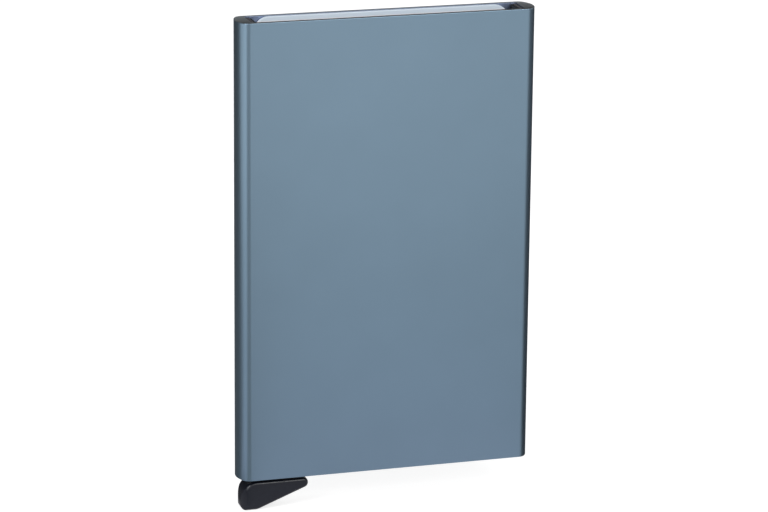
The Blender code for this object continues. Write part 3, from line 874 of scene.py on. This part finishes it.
def painted_floor_reflection(tree):
    """Painted reflection of the floor that the metal shows: a glow with painted shade close to the
    object and towards the right.
    """
    place = tree.nodes.new("ShaderNodeNewGeometry").outputs["Position"]
    x = axis_of(tree, place, "X")
    beside = calculate(tree, "SUBTRACT", calculate(tree, "ABSOLUTE", x), HALF_WIDTH)
    join = tree.nodes.new("ShaderNodeCombineXYZ")
    tree.links.new(calculate(tree, "MAXIMUM", beside), join.inputs["X"])
    tree.links.new(axis_of(tree, place, "Y"), join.inputs["Y"])
    away = tree.nodes.new("ShaderNodeVectorMath")
    away.operation = "LENGTH"
    tree.links.new(join.outputs["Vector"], away.inputs[0])
    share = calculate(tree, "DIVIDE", away.outputs["Value"], PAINTED_REFLECTION_REACH)
    fall = add_range(tree, x, 1.0, RIGHT_SHADE_LEAST, RIGHT_SHADE_START, RIGHT_SHADE_END)
    painted_glow = tree.nodes.new("ShaderNodeEmission")
    tree.links.new(add_ramp(tree, share, PAINTED_REFLECTION_TONES), painted_glow.inputs["Color"])
    tree.links.new(fall, painted_glow.inputs["Strength"])
    return painted_glow.outputs["Emission"]


def floor_material():
    """Pale matt floor that keeps its shadows, lifted to white for the camera.

    Gloss sees the painted floor reflection in its place.
    """
    material = plain_material("floor_pale", FLOOR_COLOUR, roughness=1.0)
    tree = material.node_tree
    shader = tree.nodes["Principled BSDF"]
    shader.inputs["Specular IOR Level"].default_value = 0.0
    shader.inputs["Emission Color"].default_value = WHITE
    path = tree.nodes.new("ShaderNodeLightPath")
    lift = calculate(tree, "MULTIPLY", path.outputs["Is Camera Ray"], FLOOR_LIFT)
    tree.links.new(lift, shader.inputs["Emission Strength"])
    choice = tree.nodes.new("ShaderNodeMixShader")
    tree.links.new(path.outputs["Is Glossy Ray"], choice.inputs["Fac"])
    tree.links.new(shader.outputs["BSDF"], choice.inputs[1])
    tree.links.new(painted_floor_reflection(tree), choice.inputs[2])
    tree.links.new(choice.outputs["Shader"], tree.nodes["Material Output"].inputs["Surface"])
    return material


def build_floor():
    solid = bmesh.new()
    half = FLOOR_SIZE / 2
    solid.faces.new([solid.verts.new((x, y, 0)) for x, y in
                     ((-half, -half), (half, -half), (half, half), (-half, half))])
    floor = to_object("floor", solid)
    floor.data.materials.append(floor_material())


def way_at(azimuth):
    """Direction on the floor, in degrees left of the front."""
    angle = math.radians(azimuth)
    return Vector((-math.sin(angle), -math.cos(angle), 0))


def stage_flag(name, solid, grey):
    """Make a dark card of a finished bmesh, which only gloss shows: a painted dark reflection."""
    flag = to_object(name, solid)
    flag.modifiers.clear()
    flag.data.materials.append(plain_material(name + "_card", (grey, grey, grey)))
    flag.visible_camera = False
    flag.visible_diffuse = False
    flag.visible_transmission = False
    flag.visible_volume_scatter = False
    flag.visible_shadow = False


def build_floor_flag(name, side, start, end, grey, turn, reaches):
    """Dark card laid on the floor round one end of the object, seen only in gloss as a painted dark
    reflection.

    Its start swings on by a turn as the card reaches away from the object.
    """
    solid = bmesh.new()
    middle = Vector((side * (HALF_WIDTH - HALF_DEPTH / 2), 0, FLAG_LIFT))
    count = int(abs(end - start) / FLAG_STEP)
    rings = []
    for distance, share in reaches:
        first = start + turn * share
        ways = [way_at(first + (end - first) * index / count) for index in range(count + 1)]
        rings.append([solid.verts.new(middle + way * distance) for way in ways])
    for near, far in zip(rings, rings[1:]):
        for index in range(count):
            solid.faces.new([near[index], near[index + 1], far[index + 1], far[index]])
    stage_flag(name, solid, grey)


def build_standing_flag(name, start, end, low, high, grey):
    """Upright dark card over the line from one place on the floor to another, seen only in gloss as a
    painted dark reflection.
    """
    solid = bmesh.new()
    corners = ((*start, low), (*end, low), (*end, high), (*start, high))
    solid.faces.new([solid.verts.new(corner) for corner in corners])
    stage_flag(name, solid, grey)


def add_light(name, place, size, power):
    """Soft square light, aimed at the middle of the object."""
    data = bpy.data.lights.new(name, "AREA")
    data.shape = "SQUARE"
    data.size = size
    data.energy = power
    light = bpy.data.objects.new(name, data)
    light.location = place
    aim = Vector((0, 0, HOUSING_HIGH.z / 2)) - Vector(place)
    light.rotation_euler = aim.to_track_quat("-Z", "Y").to_euler()
    bpy.context.scene.collection.objects.link(light)


def build_world():
    """Even pale surroundings, plain white where the camera or a reflection sees them."""
    world = bpy.data.worlds.new("studio")
    bpy.context.scene.world = world
    world.use_nodes = True
    tree = world.node_tree
    background = tree.nodes["Background"]
    rays = tree.nodes.new("ShaderNodeLightPath").outputs
    mirrored = calculate(tree, "MAXIMUM", rays["Is Glossy Ray"], rays["Is Transmission Ray"])
    seen = calculate(tree, "MAXIMUM", mirrored, rays["Is Camera Ray"])
    background.inputs["Color"].default_value = WHITE
    tree.links.new(add_range(tree, seen, WORLD_GLOW, 1.0), background.inputs["Strength"])


def build_camera():
    """Camera of the photograph: its place, aim, slight roll and long lens."""
    data = bpy.data.cameras.new("photo_camera")
    data.sensor_width = SENSOR_MM
    data.lens = LENS_MM
    data.clip_start = CLIP_START
    data.clip_end = CLIP_END
    camera = bpy.data.objects.new("photo_camera", data)
    back = (Vector(CAMERA_PLACE) - Vector(CAMERA_TARGET)).normalized()
    level_right = Vector((0, 0, 1)).cross(back).normalized()
    level_up = back.cross(level_right)
    right = level_right * math.cos(CAMERA_ROLL) + level_up * math.sin(CAMERA_ROLL)
    up = level_up * math.cos(CAMERA_ROLL) - level_right * math.sin(CAMERA_ROLL)
    turn = Matrix((right, up, back)).transposed().to_4x4()
    camera.matrix_world = Matrix.Translation(CAMERA_PLACE) @ turn
    bpy.context.scene.collection.objects.link(camera)
    bpy.context.scene.camera = camera


bpy.context.scene.view_settings.view_transform = "Standard"
build_camera()
build_world()
build_floor()
for floor_flag in FLOOR_FLAGS:
    build_floor_flag(*floor_flag)
for standing_flag in STANDING_FLAGS:
    build_standing_flag(*standing_flag)
for light_row in LIGHTS:
    add_light(*light_row)
build_housing()
build_lever()
build_card()
build_strips()
finish_node("bottom_cap", cap_plastic(), CAP_SOFTENING)
finish_node("pivot_pin", pin_steel())
